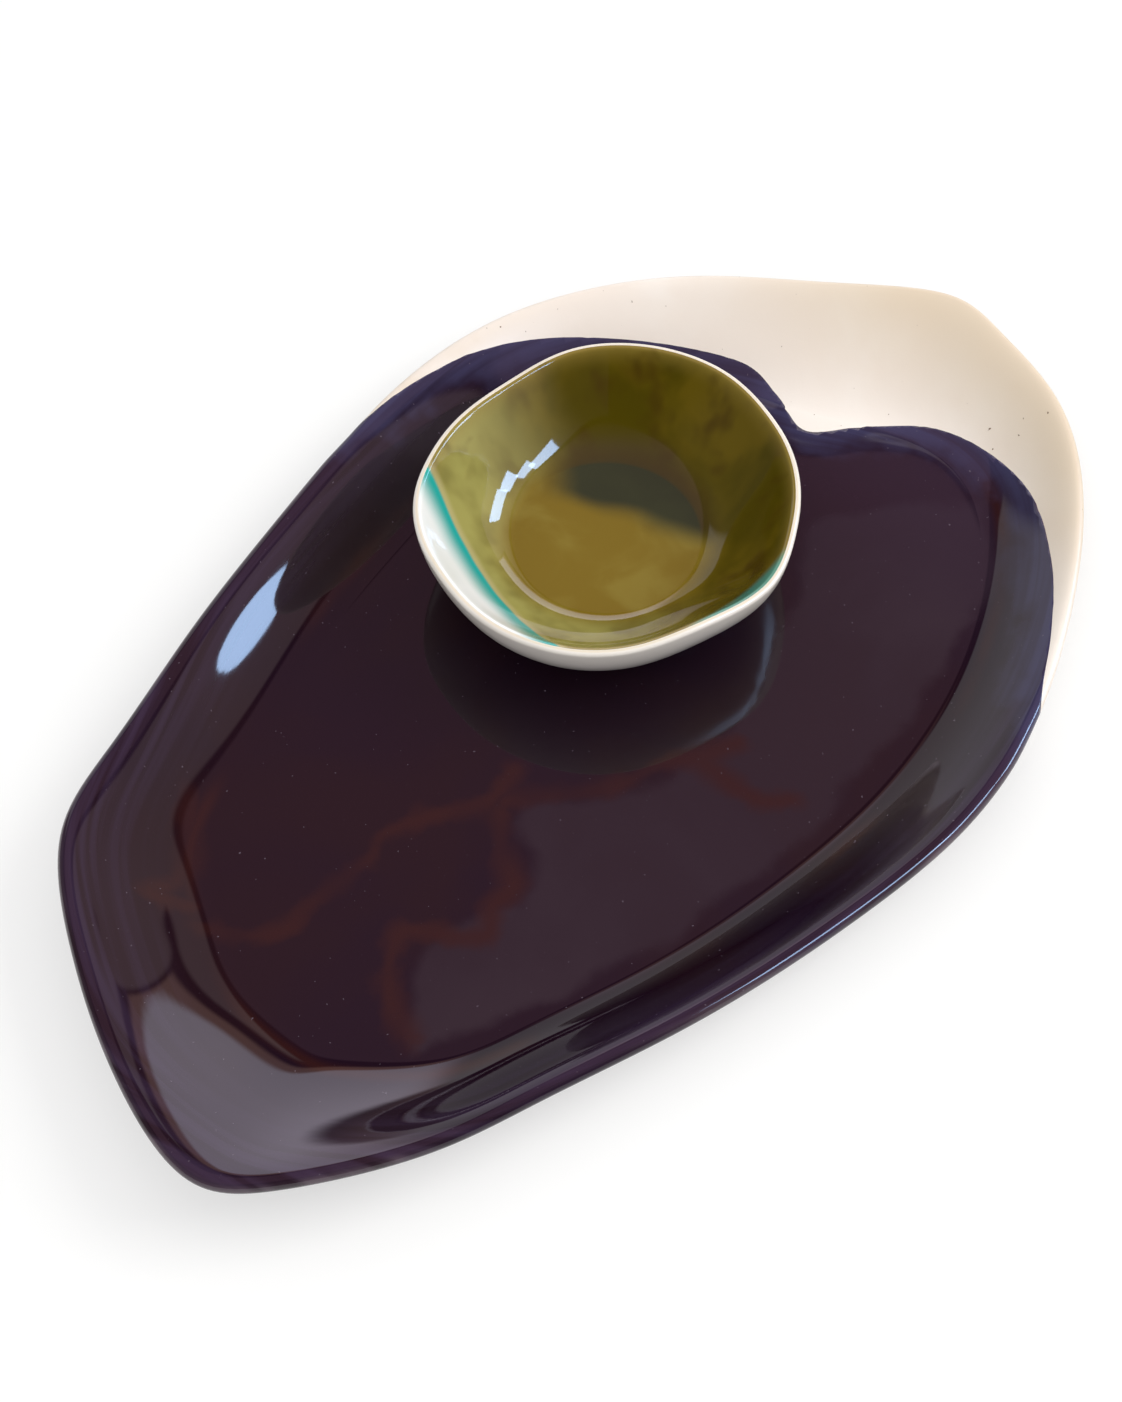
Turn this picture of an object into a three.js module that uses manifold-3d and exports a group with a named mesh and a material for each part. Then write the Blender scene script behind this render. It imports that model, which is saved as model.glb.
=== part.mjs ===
// A hand-built chip and dip platter in glazed clay: an irregular oblong platter with a broad upturned rim,
// and a shallow dip bowl that stands loose in its well. Each is a clay body with a coat of glaze on it.
// Millimetres, +Z up. The origin is on the table under the middle of the platter's outline, and the
// platter's length lies along X.

import * as THREE from 'three';
import { mergeVertices } from 'three/addons/utils/BufferGeometryUtils.js';
import Module from 'manifold-3d';

// The platter
const PLATTER_LENGTH = 424;
const PLATTER_WIDTH = 260;
const PLATTER_FLOOR = 7; // thickness of the clay under the flat well
const PLATTER_LIP_HEIGHT = 23; // top of the lip above the table, where it is lowest
const PLATTER_LIP_RISE = 9; // how much higher it is where it is highest
const PLATTER_LIP_THICKNESS = 5;
const PLATTER_RIM_WIDTH = 58; // the rim, where it is widest
const PLATTER_FOOT_INSET = 3; // the flat base ends this far inside the edge of the well
const PLATTER_FOOT_ROUND = 6; // width of the soft bend from the base up into the outside
const PLATTER_COVE = 5; // the soft bend from the well up into the rim starts this far inside the well's edge
const RIM_BEND_RATIO = 0.24; // how far that bend reaches up the rim, against the rim's width
const LIP_SLOPE_RATIO = 0.55; // slope of the rim where it flares out into its lip, against its mean slope
const RIM_FLARE_SHARE = 0.26; // length of that flare against the rim's straight span
const SPINE_SHARE = 0.45; // a spoke of the rim points in to the X axis, at this share of its own X

// The rim, at hand-picked places round the outline: where the lip is, as shares of the half length and half
// width, how far it has risen, as a share of its whole rise, and how wide the rim is, as a share of its
// greatest width.
const RIM_SHARES = [
  [1, -0.07, 1, 0.86],
  [0.92, 0.215, 0.67, 0.71],
  [0.82, 0.5, 0.5, 0.59],
  [0.695, 0.73, 0.44, 0.57],
  [0.52, 0.915, 0.33, 0.55],
  [0.315, 0.99, 0.33, 0.57],
  [0.12, 0.985, 0.33, 0.54],
  [-0.09, 0.955, 0.33, 0.505],
  [-0.3, 0.91, 0.44, 0.53],
  [-0.52, 0.85, 0.38, 0.63],
  [-0.69, 0.775, 0.5, 0.71],
  [-0.825, 0.545, 0.56, 0.74],
  [-0.93, 0.275, 0.5, 0.81],
  [-1, -0.03, 0.78, 1],
  [-0.94, -0.23, 0.61, 0.88],
  [-0.775, -0.44, 0.28, 0.6],
  [-0.61, -0.575, 0.17, 0.48],
  [-0.425, -0.715, 0.06, 0.45],
  [-0.255, -0.825, 0, 0.45],
  [-0.08, -0.915, 0, 0.48],
  [0.125, -0.99, 0.11, 0.53],
  [0.335, -0.985, 0.22, 0.52],
  [0.54, -0.9, 0.39, 0.48],
  [0.76, -0.74, 0.44, 0.5],
  [0.92, -0.515, 0.56, 0.62],
  [0.985, -0.27, 0.83, 0.78],
];

// The dip bowl
const BOWL_ALONG = 55; // its middle lies this far along the platter, towards the bare end,
const BOWL_ASIDE = 32; // and this far towards the platter's far side
const BOWL_RIM_RADIUS = 65;
const BOWL_HEIGHT = 38;
const BOWL_FLOOR = 11; // thickness of the clay under its flat floor
const BOWL_FLOOR_RADIUS = 40;
const BOWL_LIP_THICKNESS = 3.2;
const BOWL_INSIDE_ANGLE = 55; // degrees from level at which the inside reaches the lip
const BOWL_OUTSIDE_ANGLE = 90; // degrees from level at which the outside leaves it
const BOWL_COVE = 8;
const BOWL_FOOT_RADIUS = 36;
const BOWL_FOOT_ROUND = 12;
const BOWL_PINCH = 5; // the most that the rim stands in or out of round
const BOWL_SWAY = 1.5; // the most that the rim stands over or under its height

// The bowl's pinched rim, every sixteenth of a turn: how far it stands out and up, as shares of those two.
const BOWL_WAVE_SHARES = [
  [0.38, 0.67],
  [0.26, 0.5],
  [0.02, -0.2],
  [-0.9, -0.5],
  [-0.98, 0],
  [-0.46, 0.8],
  [0.26, 0.8],
  [0.3, 0.2],
  [0.46, -0.67],
  [0.48, -0.5],
  [0.14, 0],
  [-0.24, 0.2],
  [0.28, -0.67],
  [0.04, 0.1],
  [0.18, 0.1],
  [0.22, 0],
];

// The glaze
const GLAZE_THICKNESS = 0.5;
const GLAZE_BOND = 0.3; // clearance between the clay and its coat
const BOWL_DIP_BEARING = 157; // degrees from +X of the side of the bowl that was held out of the glaze
const BOWL_DIP_REACH = 50; // the olive coat stops this far from the bowl's middle, on that side

// The edge of the platter's coat, from the far long side to the near one, as shares of the half length and
// half width. The clay is bare beyond it.
const DIP_LINE_SHARES = [
  [0.1, 1.08],
  [0.18, 1],
  [0.3, 0.97],
  [0.44, 0.9],
  [0.56, 0.765],
  [0.67, 0.54],
  [0.73, 0.32],
  [0.715, 0.18],
  [0.68, 0.05],
  [0.75, -0.08],
  [0.805, -0.24],
  [0.805, -0.42],
  [0.75, -0.6],
  [0.63, -0.765],
  [0.5, -0.88],
  [0.38, -0.965],
  [0.28, -1.08],
];

// How finely the surfaces are cut
const PLATTER_SPOKES = 96;
const BOWL_SPOKES = 72;
const INSIDE_STEPS = 7;
const LIP_STEPS = 4;
const OUTSIDE_STEPS = 6;
const CROWDING_RATIO = 1.5; // steps crowd together where the inside bends up from the floor
const COAT_STEPS = 3; // steps of the outside that the platter's coat covers, short of the foot
const DIP_STEPS = 3; // between two points of the dip line
const SPLINE_SWEEPS = 40;
const HANDLE_SHARE = 0.42; // length of a wall's bend handle against its straight span
const CUT_MARGIN = 20; // cutting solids reach this far past what they cut

const CLAY_CREAM = new THREE.MeshStandardMaterial({ color: 0xe6d9c6, roughness: 0.45, metalness: 0 });
const GLAZE_AUBERGINE = new THREE.MeshStandardMaterial({ color: 0x2f1c2c, roughness: 0.06, metalness: 0 });
const CLAY_WHITE = new THREE.MeshStandardMaterial({ color: 0xf1eee8, roughness: 0.4, metalness: 0 });
const GLAZE_OLIVE = new THREE.MeshStandardMaterial({ color: 0x6f5c18, roughness: 0.08, metalness: 0 });

const wasm = await Module();
wasm.setup();

/** A smooth closed curve through rows of numbers: gives the row at any turn from 0 to 1. */
function closedSpline(rows) {
  const at = (list, i) => list[(i + list.length) % list.length];
  let controls = rows;
  for (let sweep = 0; sweep < SPLINE_SWEEPS; sweep++) {
    controls = rows.map((row, i) =>
      row.map((value, c) => (6 * value - at(controls, i - 1)[c] - at(controls, i + 1)[c]) / 4),
    );
  }
  return (turn) => {
    const i = Math.floor(turn * rows.length);
    const f = turn * rows.length - i;
    const weights = [
      (1 - f) ** 3,
      3 * f ** 3 - 6 * f ** 2 + 4,
      1 + 3 * f + 3 * f ** 2 - 3 * f ** 3,
      f ** 3,
    ];
    const blend = (c) => weights.reduce((sum, w, j) => sum + (w * at(controls, i - 1 + j)[c]) / 6, 0);
    return rows[0].map((_, c) => blend(c));
  };
}

/** The direction at an angle from level, in the flat plane of a wall's section. */
function heading(angle) {
  return new THREE.Vector2(Math.cos(angle), Math.sin(angle));
}

/**
 * The section of a wall, as stations with a distance out, a height and an outward normal: from the flat
 * floor up the inside, over a round lip and down the outside to the flat base.
 */
function wallSection({ floorEdge, cove, lip, lipRadius, flare, insideAngle, outsideAngle, baseEdge, footRound }) {
  const insideTop = lip.clone().addScaledVector(heading(insideAngle + Math.PI / 2), lipRadius);
  const outsideTop = lip.clone().addScaledVector(heading(outsideAngle - Math.PI / 2), lipRadius);
  const span = insideTop.distanceTo(floorEdge);
  const inside = new THREE.CubicBezierCurve(
    new THREE.Vector2(floorEdge.x - cove, floorEdge.y),
    floorEdge,
    insideTop.clone().addScaledVector(heading(insideAngle), -flare * span),
    insideTop,
  );
  const over = new THREE.EllipseCurve(
    lip.x,
    lip.y,
    lipRadius,
    lipRadius,
    insideAngle + Math.PI / 2,
    outsideAngle - Math.PI / 2,
    true,
  );
  const outside = new THREE.CubicBezierCurve(
    outsideTop,
    outsideTop.clone().addScaledVector(heading(outsideAngle), -HANDLE_SHARE * span),
    new THREE.Vector2(baseEdge.x + footRound, baseEdge.y),
    baseEdge,
  );
  const stations = [];
  const walk = (curve, first, steps, crowd) => {
    for (let i = first; i <= steps; i++) {
      const t = crowd(i / steps);
      const point = curve.getPoint(t);
      const tangent = curve.getTangent(t);
      stations.push({ out: point.x, up: point.y, normal: new THREE.Vector2(-tangent.y, tangent.x) });
    }
  };
  walk(inside, 0, INSIDE_STEPS, (t) => t ** CROWDING_RATIO);
  walk(over, 1, LIP_STEPS, (t) => t);
  walk(outside, 1, OUTSIDE_STEPS, (t) => 1 - (1 - t) ** CROWDING_RATIO);
  return stations;
}

/** One ring of points round a vessel, at a station of its spokes, moved out along the surface's normals. */
function ring(spokes, station, offset = 0) {
  return spokes.map(({ origin, direction, stations }) => {
    const { out, up, normal } = stations[station];
    const flat = direction.clone().multiplyScalar(out + normal.x * offset).add(origin);
    return new THREE.Vector3(flat.x, flat.y, up + normal.y * offset);
  });
}

/** The middle of a ring, as a ring of one point. */
function pole(points) {
  return [points.reduce((sum, p) => sum.add(p), new THREE.Vector3()).divideScalar(points.length)];
}

/** A closed skin over rings of points, from a pole on top, outwards and round, to a pole below. */
function skin(rings) {
  const positions = rings.flat().flatMap((p) => [p.x, p.y, p.z]);
  const starts = rings.reduce((list, points) => [...list, list.at(-1) + points.length], [0]);
  const faces = [];
  for (let j = 0; j + 1 < rings.length; j++) {
    const count = Math.max(rings[j].length, rings[j + 1].length);
    const index = (row, k) => starts[row] + (k % rings[row].length);
    for (let k = 0; k < count; k++) {
      const [a, b] = [index(j, k), index(j, k + 1)];
      const [c, d] = [index(j + 1, k), index(j + 1, k + 1)];
      if (c !== d) faces.push(a, c, d);
      if (a !== b) faces.push(a, d, b);
    }
  }
  const geometry = new THREE.BufferGeometry();
  geometry.setAttribute('position', new THREE.Float32BufferAttribute(positions, 3));
  return geometry.setIndex(faces);
}

/** The clay of a vessel: the whole section of its spokes, closed across its floor and its base. */
function clayBody(spokes) {
  const rings = spokes[0].stations.map((_, j) => ring(spokes, j));
  return skin([pole(rings[0]), ...rings, pole(rings.at(-1))]);
}

/** A coat of glaze over a vessel's floor and its walls, as far round the section as the last station. */
function glazeCoat(spokes, last) {
  const stations = Array.from({ length: last + 1 }, (_, j) => j);
  const face = stations.map((j) => ring(spokes, j, GLAZE_BOND + GLAZE_THICKNESS));
  const back = stations.map((j) => ring(spokes, j, GLAZE_BOND)).reverse();
  return skin([pole(face[0]), ...face, ...back, pole(back.at(-1))]);
}

/** A closed geometry as a solid that can be cut. */
function solidOf(geometry) {
  const bare = geometry.clone();
  bare.deleteAttribute('normal');
  bare.deleteAttribute('uv');
  const merged = mergeVertices(bare);
  return new wasm.Manifold(
    new wasm.Mesh({
      numProp: 3,
      vertProperties: merged.attributes.position.array,
      triVerts: new Uint32Array(merged.index.array),
    }),
  );
}

/** One geometry with another one cut away from it. */
function cutAway(geometry, cutter) {
  const mesh = solidOf(geometry).subtract(solidOf(cutter)).getMesh();
  const left = new THREE.BufferGeometry();
  left.setAttribute('position', new THREE.BufferAttribute(mesh.vertProperties, 3));
  return left.setIndex(new THREE.BufferAttribute(mesh.triVerts, 1));
}

/** The platter's spokes, from the edge of its well out to its lip. */
function platterSpokes() {
  const rimAt = closedSpline(RIM_SHARES);
  const rows = Array.from({ length: PLATTER_SPOKES }, (_, k) => rimAt(k / PLATTER_SPOKES));
  const fit = (column, size) => {
    const values = rows.map((row) => row[column]);
    const [low, high] = [Math.min(...values), Math.max(...values)];
    return (value) => ((value - (low + high) / 2) / (high - low)) * size;
  };
  const fitX = fit(0, PLATTER_LENGTH);
  const fitY = fit(1, PLATTER_WIDTH);
  const lipRadius = PLATTER_LIP_THICKNESS / 2;
  return rows.map(([along, aside, rise, width]) => {
    const edge = new THREE.Vector2(fitX(along), fitY(aside));
    const direction = new THREE.Vector2((1 - SPINE_SHARE) * edge.x, edge.y).normalize();
    const run = width * PLATTER_RIM_WIDTH;
    const lip = new THREE.Vector2(run, PLATTER_LIP_HEIGHT + rise * PLATTER_LIP_RISE).subScalar(lipRadius);
    const slope = Math.atan((LIP_SLOPE_RATIO * (lip.y - PLATTER_FLOOR)) / lip.x);
    const bend = RIM_BEND_RATIO * run;
    const stations = wallSection({
      floorEdge: new THREE.Vector2(bend, PLATTER_FLOOR),
      cove: PLATTER_COVE + bend,
      lip,
      lipRadius,
      flare: RIM_FLARE_SHARE,
      insideAngle: slope,
      outsideAngle: slope,
      baseEdge: new THREE.Vector2(-PLATTER_FOOT_INSET, 0),
      footRound: PLATTER_FOOT_ROUND,
    });
    return { origin: edge.addScaledVector(direction, -run), direction, stations };
  });
}

/** The bowl's spokes, from its middle out to its pinched lip. */
function bowlSpokes() {
  const waveAt = closedSpline(BOWL_WAVE_SHARES);
  const lipRadius = BOWL_LIP_THICKNESS / 2;
  return Array.from({ length: BOWL_SPOKES }, (_, k) => {
    const [out, up] = waveAt(k / BOWL_SPOKES);
    const lip = new THREE.Vector2(BOWL_RIM_RADIUS + out * BOWL_PINCH, BOWL_HEIGHT + up * BOWL_SWAY);
    const stations = wallSection({
      floorEdge: new THREE.Vector2(BOWL_FLOOR_RADIUS, BOWL_FLOOR),
      cove: BOWL_COVE,
      lip: lip.subScalar(lipRadius),
      lipRadius,
      flare: HANDLE_SHARE,
      insideAngle: THREE.MathUtils.degToRad(BOWL_INSIDE_ANGLE),
      outsideAngle: THREE.MathUtils.degToRad(BOWL_OUTSIDE_ANGLE),
      baseEdge: new THREE.Vector2(BOWL_FOOT_RADIUS, 0),
      footRound: BOWL_FOOT_ROUND,
    });
    return { origin: new THREE.Vector2(), direction: heading((2 * Math.PI * k) / BOWL_SPOKES), stations };
  });
}

/** The space beyond the platter's dip line, where the clay stays bare. */
function bareEnd() {
  const line = DIP_LINE_SHARES.map(
    ([along, aside]) => new THREE.Vector2((along * PLATTER_LENGTH) / 2, (aside * PLATTER_WIDTH) / 2),
  );
  const far = PLATTER_LENGTH / 2 + CUT_MARGIN;
  const outline = new THREE.Shape();
  outline.moveTo(line[0].x, line[0].y);
  outline.splineThru(line.slice(1));
  outline.lineTo(far, line.at(-1).y);
  outline.lineTo(far, line[0].y);
  const depth = 2 * CUT_MARGIN + PLATTER_LIP_HEIGHT;
  const end = new THREE.ExtrudeGeometry(outline, { depth, curveSegments: DIP_STEPS, bevelEnabled: false });
  return end.translate(0, 0, -CUT_MARGIN);
}

/** The space on the side of the bowl that was held out of the glaze. */
function heldSide() {
  const size = 2 * (BOWL_RIM_RADIUS + CUT_MARGIN);
  return new THREE.BoxGeometry(size, size, size)
    .translate(BOWL_DIP_REACH + size / 2, 0, 0)
    .rotateZ(THREE.MathUtils.degToRad(BOWL_DIP_BEARING));
}

/** A named mesh of one sub-part. */
function subPart(name, geometry, material) {
  const mesh = new THREE.Mesh(geometry, material);
  mesh.name = name;
  return mesh;
}

const platterWall = platterSpokes();
const bowlWall = bowlSpokes();
const platterCoat = cutAway(glazeCoat(platterWall, INSIDE_STEPS + LIP_STEPS + COAT_STEPS), bareEnd());
const bowlCoat = cutAway(glazeCoat(bowlWall, INSIDE_STEPS), heldSide());

const platter = new THREE.Group();
platter.add(
  subPart('platter_body', clayBody(platterWall), CLAY_CREAM),
  subPart('platter_glaze', platterCoat, GLAZE_AUBERGINE),
);

const bowl = new THREE.Group();
bowl.position.set(BOWL_ALONG, BOWL_ASIDE, PLATTER_FLOOR + GLAZE_BOND + GLAZE_THICKNESS);
bowl.add(
  subPart('dip_bowl_body', clayBody(bowlWall), CLAY_WHITE),
  subPart('dip_bowl_glaze', bowlCoat, GLAZE_OLIVE),
);

const chipAndDip = new THREE.Group();
chipAndDip.add(platter, bowl);

export default chipAndDip;
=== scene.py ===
"""A hand-built chip and dip platter with its dip bowl: modelled surfaces, glazes, studio and camera.

Metres, +Z up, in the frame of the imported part. Lengths are written in millimetres times MM.
"""

import logging
import math
from collections.abc import Iterator
from contextlib import contextmanager
from dataclasses import dataclass
from enum import Enum
from typing import Any, NamedTuple

import bmesh
import bpy
import numpy as np
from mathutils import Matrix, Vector, noise


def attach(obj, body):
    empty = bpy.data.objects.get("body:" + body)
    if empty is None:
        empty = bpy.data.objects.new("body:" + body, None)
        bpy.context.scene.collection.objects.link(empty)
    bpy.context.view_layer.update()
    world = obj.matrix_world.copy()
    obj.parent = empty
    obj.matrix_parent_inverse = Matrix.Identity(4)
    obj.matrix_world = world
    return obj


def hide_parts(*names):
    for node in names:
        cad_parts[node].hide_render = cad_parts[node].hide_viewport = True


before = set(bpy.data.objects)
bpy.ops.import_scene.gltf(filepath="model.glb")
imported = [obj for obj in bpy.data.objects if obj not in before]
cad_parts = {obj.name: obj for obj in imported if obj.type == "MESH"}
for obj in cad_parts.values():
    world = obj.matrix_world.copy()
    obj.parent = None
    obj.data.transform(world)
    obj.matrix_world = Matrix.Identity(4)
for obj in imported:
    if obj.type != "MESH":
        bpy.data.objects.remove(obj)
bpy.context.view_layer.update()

MM = 0.001
TINY = 1e-9
# Rounds in which a closed spline is pulled through its places.
SPLINE_SWEEPS = 40
# Length of a bend's handle against the wall's straight span.
HANDLE_SHARE = 0.42
# How much a wall's rings crowd towards its bends.
CROWDING = 1.5
log = logging.getLogger("platter")

Triple = tuple[float, float, float]
Colour = Triple
Feed = Any

# The window's colour in reflections.
DAYLIGHT: Colour = (0.44, 0.65, 1.0)

# The bowl's middle, along and across the platter.
BOWL_MIDDLE = (55 * MM, 32 * MM)


class Body(Enum):
    """The bodies that pieces ride on."""

    PLATTER = "platter"
    BOWL = "dip_bowl"


class Field(Enum):
    """Values kept on a piece's vertices, for its finish or its cutting to read."""

    WALL = "wall"
    CREASE = "crease"
    MARK_X = "mark_x"
    MARK_Y = "mark_y"
    DIP = "dip"
    VEIN = "vein"
    CELL = "cell"


class Shine(Enum):
    """What a panel of light does: it lights surfaces, or shows in glossy ones."""

    LIGHT = "light"
    MIRROR = "mirror"


class RimPlace(NamedTuple):
    """A place on the platter's lip, with how far it has risen and how wide the rim is, all as shares."""

    along: float
    aside: float
    rise: float
    width: float


# The platter's lip, counter-clockwise from its bare end.
RIM_PLACES = (
    RimPlace(1, -0.07, 1, 0.86),
    RimPlace(0.92, 0.215, 0.67, 0.71),
    RimPlace(0.82, 0.5, 0.5, 0.59),
    RimPlace(0.695, 0.73, 0.44, 0.57),
    RimPlace(0.52, 0.915, 0.33, 0.55),
    RimPlace(0.315, 0.99, 0.33, 0.57),
    RimPlace(0.12, 0.985, 0.33, 0.54),
    RimPlace(-0.09, 0.955, 0.33, 0.505),
    RimPlace(-0.3, 0.91, 0.44, 0.53),
    RimPlace(-0.52, 0.85, 0.38, 0.63),
    RimPlace(-0.69, 0.775, 0.5, 0.71),
    RimPlace(-0.825, 0.545, 0.56, 0.74),
    RimPlace(-0.93, 0.275, 0.5, 0.81),
    RimPlace(-1, -0.03, 0.78, 1),
    RimPlace(-0.94, -0.23, 0.61, 0.88),
    RimPlace(-0.775, -0.44, 0.28, 0.6),
    RimPlace(-0.61, -0.575, 0.17, 0.48),
    RimPlace(-0.425, -0.715, 0.06, 0.45),
    RimPlace(-0.255, -0.825, 0, 0.45),
    RimPlace(-0.08, -0.915, 0, 0.48),
    RimPlace(0.125, -0.99, 0.11, 0.53),
    RimPlace(0.335, -0.985, 0.22, 0.52),
    RimPlace(0.54, -0.9, 0.39, 0.48),
    RimPlace(0.76, -0.74, 0.44, 0.5),
    RimPlace(0.92, -0.515, 0.56, 0.62),
    RimPlace(0.985, -0.27, 0.83, 0.78),
)

# The edge of the platter's glaze, from the far side to the near one, as shares of half its length and width.
DIP_LINE = (
    (0.1, 1.08),
    (0.18, 1),
    (0.3, 0.97),
    (0.44, 0.9),
    (0.56, 0.765),
    (0.67, 0.54),
    (0.73, 0.32),
    (0.715, 0.18),
    (0.68, 0.05),
    (0.75, -0.08),
    (0.805, -0.24),
    (0.805, -0.42),
    (0.75, -0.6),
    (0.63, -0.765),
    (0.5, -0.88),
    (0.38, -0.965),
    (0.28, -1.08),
)

# Reddish-brown lines drawn in the well, in millimetres along and across the platter.
VEINS = (
    (
        *((-140, 51), (-135, 40), (-125, 29), (-114, 29), (-98, 26)),
        *((-87, 24), (-79, 26), (-65, 18), (-49, 6), (-34, 6)),
    ),
    ((-45, 1), (-33, -12), (-19, -25), (-4, -32), (6, -41), (19, -48)),
    ((6, -41), (4, -50), (4, -66), (10, -74)),
    ((-49, 0), (-61, -9), (-69, -20), (-79, -19), (-88, -24), (-95, -17), (-99, -6), (-105, -1), (-117, -6)),
    ((-117, -6), (-127, -16), (-131, -27)),
    ((-108, 84), (-128, 68), (-143, 70), (-136, 58)),
)

# A cell of the well painted paler, in millimetres along and across the platter.
PALE_CELL = (
    *((-43, -2), (-32, -11), (-19, -25), (0, -37), (16, -42), (45, -38), (80, -30), (109, -14)),
    *((135, -35), (156, -63), (130, -84), (70, -92), (6, -88), (-28, -82), (-62, -72), (-108, -50)),
    *((-137, -31), (-132, -24), (-118, -14), (-103, -9), (-86, -15), (-73, -22), (-57, -17), (-50, -5)),
)

# The bowl's pinched rim, every sixteenth of a turn: out and up, as shares of its pinch and its sway.
BOWL_WAVES = (
    (0.38, 0.67),
    (0.26, 0.5),
    (0.02, -0.2),
    (-0.9, -0.5),
    (-0.98, 0),
    (-0.46, 0.8),
    (0.26, 0.8),
    (0.3, 0.2),
    (0.46, -0.67),
    (0.48, -0.5),
    (0.14, 0),
    (-0.24, 0.2),
    (0.28, -0.67),
    (0.04, 0.1),
    (0.18, 0.1),
    (0.22, 0),
)


def closed_spline(rows: np.ndarray, count: int) -> np.ndarray:
    """Spreads rows of numbers along a smooth closed curve.

    Args:
        rows: the rows that the curve passes through, in order.
        count: how many rows to give back, evenly spread.

    Returns:
        The rows on the curve, starting at the first one given.
    """
    controls = rows.copy()
    for _ in range(SPLINE_SWEEPS):
        controls = (6 * rows - np.roll(controls, 1, axis=0) - np.roll(controls, -1, axis=0)) / 4
    place = np.arange(count) * len(rows) / count
    whole = np.floor(place).astype(int)
    f = (place - whole)[:, None]
    weights = ((1 - f) ** 3, 3 * f**3 - 6 * f**2 + 4, 1 + 3 * f + 3 * f**2 - 3 * f**3, f**3)
    return sum(w * controls[(whole - 1 + j) % len(rows)] for j, w in enumerate(weights)) / 6


def open_spline(points: np.ndarray, steps: int) -> np.ndarray:
    """Draws a smooth line through points.

    Args:
        points: the points that the line passes through.
        steps: how many short lines lie between two of them.

    Returns:
        The points of the finer line.
    """
    padded = np.vstack((points[:1], points, points[-1:]))
    line = []
    for before, start, end, after in zip(padded, padded[1:], padded[2:], padded[3:]):
        leave = (end - before) / 2
        arrive = (after - start) / 2
        for t in np.arange(steps) / steps:
            bend = (2 * start - 2 * end + leave + arrive) * t**3
            line.append(bend + (3 * end - 3 * start - 2 * leave - arrive) * t**2 + leave * t + start)
    return np.vstack((line, points[-1:]))


def distance_to_line(places: np.ndarray, line: np.ndarray) -> np.ndarray:
    """Measures how far places lie from a line of points, seen from above.

    Args:
        places: the places, one row each.
        line: the line's points, in order.

    Returns:
        One distance for each place.
    """
    nearest = np.full(len(places), np.inf)
    for start, end in zip(line, line[1:]):
        along = end - start
        share = np.clip((places - start) @ along / max(along @ along, TINY), 0, 1)
        nearest = np.minimum(nearest, np.linalg.norm(places - start - share[:, None] * along, axis=1))
    return nearest


def inside_outline(places: np.ndarray, outline: np.ndarray) -> np.ndarray:
    """Tells which places lie inside a closed outline, seen from above.

    Args:
        places: the places, one row each.
        outline: the outline's points, in order.

    Returns:
        True for each place that lies inside.
    """
    inside = np.zeros(len(places), bool)
    for (x0, y0), (x1, y1) in zip(outline, np.roll(outline, -1, axis=0)):
        if y0 == y1:
            continue
        spans = (places[:, 1] < y0) != (places[:, 1] < y1)
        inside ^= spans & (places[:, 0] < x0 + (places[:, 1] - y0) / (y1 - y0) * (x1 - x0))
    return inside


def smooth_step(values: np.ndarray) -> np.ndarray:
    """Eases values from 0 to 1, and holds them there."""
    t = np.clip(values, 0, 1)
    return t * t * (3 - 2 * t)


def heading(angle: np.ndarray) -> np.ndarray:
    """Gives the directions at these angles from level, as rows of (out, up)."""
    return np.stack((np.cos(angle), np.sin(angle)), axis=1)


@dataclass(frozen=True)
class SectionSteps:
    """How finely a dish's section is cut.

    Attributes:
        floor: rings from the middle of the floor to its edge.
        inside: rings up the inside of the wall.
        lip: rings over the lip.
        outside: rings down the outside of the wall.
        base: rings from the edge of the base to its middle.
    """

    floor: int
    inside: int
    lip: int
    outside: int
    base: int


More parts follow.
